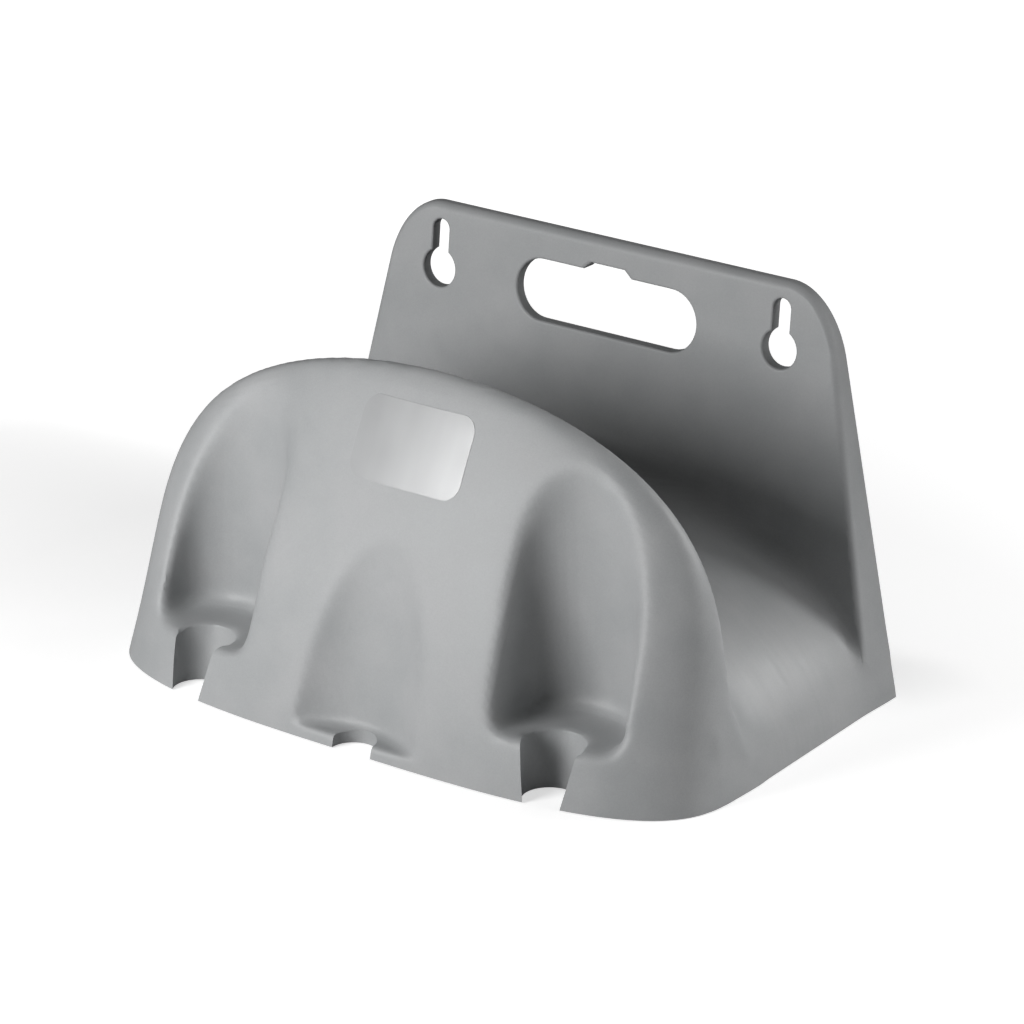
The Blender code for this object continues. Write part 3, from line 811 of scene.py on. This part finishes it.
# painted reflection: lighter streaks about 10 mm wide that run from top to bottom, for the lamps mirrored in
# the film
painted_streak_space = add_node(tree, "ShaderNodeMapping", {
    "Vector": where, "Scale": (1 / PAINTED_STREAK_WIDTH, 1 / PAINTED_STREAK_DEPTH, 1 / PAINTED_STREAK_LENGTH)}).outputs[0]
painted_streaks = add_node(tree, "ShaderNodeTexNoise", {"Vector": painted_streak_space, "Scale": 1.0, "Detail": 2.0}).outputs[0]
# the film's grey, lighter along the painted reflection streaks
greys = add_node(tree, "ShaderNodeValToRGB", {0: painted_streaks})
greys.color_ramp.elements[0].position = 0.3
greys.color_ramp.elements[1].position = 0.7
greys.color_ramp.elements[0].color = linear(FILM_GREY_AND_PAINTED_STREAK[0])
greys.color_ramp.elements[1].color = linear(FILM_GREY_AND_PAINTED_STREAK[1])
sheen = add_node(tree, "ShaderNodeMapRange", {
    "Value": ripple, "From Min": 0.1, "From Max": 0.9,
    "To Min": FILM_ROUGHNESS[0], "To Max": FILM_ROUGHNESS[1]}).outputs[0]
rippled = add_node(tree, "ShaderNodeBump", {
    "Height": ripple, "Strength": 1.0, "Distance": RIPPLE_HEIGHT}).outputs[0]
shader = tree.nodes["Principled BSDF"]
shader.inputs["IOR"].default_value = FILM_IOR
tree.links.new(greys.outputs[0], shader.inputs["Base Color"])
tree.links.new(sheen, shader.inputs["Roughness"])
tree.links.new(rippled, shader.inputs["Normal"])
label.data.materials.clear()
label.data.materials.append(film)


# Studio floor and backdrop. White paper lies flat under the hanger, lit by the lamps like any
# paper. For the camera it also glows, more with the distance, and so does the world: both read
# as white, and only the object's own soft shadow stays on the paper.

FLOOR_HALF_SIZE = 4.0
FLOOR_GAP = 0.0003
MIDDLE_Y = -0.07
GLOW_NEAR = 0.60
GLOW_FAR = 1.0
GLOW_START = 0.20
GLOW_END = 0.60
FILL = 0.02

floor_mesh = bmesh.new()
bmesh.ops.create_grid(floor_mesh, x_segments=1, y_segments=1, size=FLOOR_HALF_SIZE)
bmesh.ops.translate(floor_mesh, verts=floor_mesh.verts, vec=(0, 0, rim_height - FLOOR_GAP))
floor = made("floor", floor_mesh)
paper = bpy.data.materials.new("studio_paper")
paper.use_nodes = True
tree = paper.node_tree
seen = add_node(tree, "ShaderNodeLightPath").outputs["Is Camera Ray"]
where = add_node(tree, "ShaderNodeTexCoord").outputs["Object"]
away = add_node(tree, "ShaderNodeVectorMath", {0: where, 1: (0, MIDDLE_Y, rim_height)}, operation="DISTANCE")
fade = add_node(tree, "ShaderNodeMapRange", {
    "Value": away.outputs["Value"], "From Min": GLOW_START, "From Max": GLOW_END,
    "To Min": GLOW_NEAR, "To Max": GLOW_FAR}).outputs[0]
glow = add_node(tree, "ShaderNodeMath", {0: seen, 1: fade}, operation="MULTIPLY").outputs[0]
shader = tree.nodes["Principled BSDF"]
shader.inputs["Base Color"].default_value = linear("#dadada")
shader.inputs["Roughness"].default_value = 0.9
shader.inputs["Emission Color"].default_value = linear("#ffffff")
tree.links.new(glow, shader.inputs["Emission Strength"])
floor.data.materials.append(paper)

scene = bpy.context.scene
scene.view_settings.view_transform = "Standard"
world = bpy.data.worlds.new("studio")
world.use_nodes = True
tree = world.node_tree
seen = add_node(tree, "ShaderNodeLightPath").outputs["Is Camera Ray"]
level = add_node(tree, "ShaderNodeMapRange", {"Value": seen, "To Min": FILL, "To Max": 1.0}).outputs[0]
background = tree.nodes["Background"]
background.inputs["Color"].default_value = linear("#ffffff")
tree.links.new(level, background.inputs["Strength"])
scene.world = world


# Studio lamps: a near soft box in front, a little to the left, and two larger ones further off,
# behind to the right and beside. A black card behind the plate, which the camera doesn't see,
# keeps the rear lamp from shining through the keyholes and the grip slot.

LAMPS_AIM = Vector((0, MIDDLE_Y, -0.06))
CARD_WIDTH = 0.40
CARD_HEIGHT = 0.15
CARD_PLACE = (-0.05, 0.06, -0.02)


def soft_box(name, azimuth, elevation, distance, size, watts):
    """Square lamp that faces the aim, azimuth degrees round from the front towards the right."""
    data = bpy.data.lights.new(name, "AREA")
    data.shape = "SQUARE"
    data.size = size
    data.energy = watts
    azimuth, elevation = math.radians(azimuth), math.radians(elevation)
    level = Vector((math.sin(azimuth), -math.cos(azimuth), 0)) * math.cos(elevation)
    towards = level + Vector((0, 0, math.sin(elevation)))
    lamp = bpy.data.objects.new(name, data)
    lamp.location = LAMPS_AIM + towards * distance
    lamp.rotation_euler = towards.to_track_quat("Z", "Y").to_euler()
    scene.collection.objects.link(lamp)


soft_box("key_box", azimuth=-20, elevation=18, distance=0.6, size=0.29, watts=3.45)
soft_box("rear_box", azimuth=141, elevation=29, distance=1.2, size=0.54, watts=8.2)
soft_box("rim_box", azimuth=104, elevation=16, distance=1.2, size=0.54, watts=3.6)

card = bmesh.new()
bmesh.ops.create_grid(card, x_segments=1, y_segments=1, size=0.5)
bmesh.ops.scale(card, verts=card.verts, vec=(CARD_WIDTH, CARD_HEIGHT, 1))
bmesh.ops.rotate(card, verts=card.verts, matrix=Matrix.Rotation(math.pi / 2, 3, "X"))
bmesh.ops.translate(card, verts=card.verts, vec=CARD_PLACE)
flag = made("flag", card)
flag.visible_camera = False
black = bpy.data.materials.new("black_card")
black.use_nodes = True
shader = black.node_tree.nodes["Principled BSDF"]
shader.inputs["Base Color"].default_value = linear("#161616")
shader.inputs["Roughness"].default_value = 0.9
flag.data.materials.append(black)


# Camera, as fitted to the photo: it looks down from the front right through a long lens. Its
# place is given from the middle of the bottom rim's back, along its own three directions.

CAMERA_AZIMUTH = math.radians(37.0025)
CAMERA_ELEVATION = math.radians(21.2343)
CAMERA_RIGHT = -0.0348526
CAMERA_UP = 0.0358427
CAMERA_BACK = 1.6932495
LENS_MM = 173.64
SENSOR_MM = 36.0

right = Vector((math.cos(CAMERA_AZIMUTH), math.sin(CAMERA_AZIMUTH), 0))
ahead = Vector((-math.sin(CAMERA_AZIMUTH), math.cos(CAMERA_AZIMUTH), 0)) * math.cos(CAMERA_ELEVATION)
forward = ahead - Vector((0, 0, math.sin(CAMERA_ELEVATION)))
up = right.cross(forward)
eye = Vector((0, 0, rim_height)) + right * CAMERA_RIGHT + up * CAMERA_UP - forward * CAMERA_BACK
camera_data = bpy.data.cameras.new("camera")
camera_data.sensor_width = SENSOR_MM
camera_data.lens = LENS_MM
camera_data.clip_end = 20
camera = bpy.data.objects.new("camera", camera_data)
camera.matrix_world = Matrix(((right.x, up.x, -forward.x, eye.x), (right.y, up.y, -forward.y, eye.y),
                              (right.z, up.z, -forward.z, eye.z), (0, 0, 0, 1)))
scene.collection.objects.link(camera)
scene.camera = camera
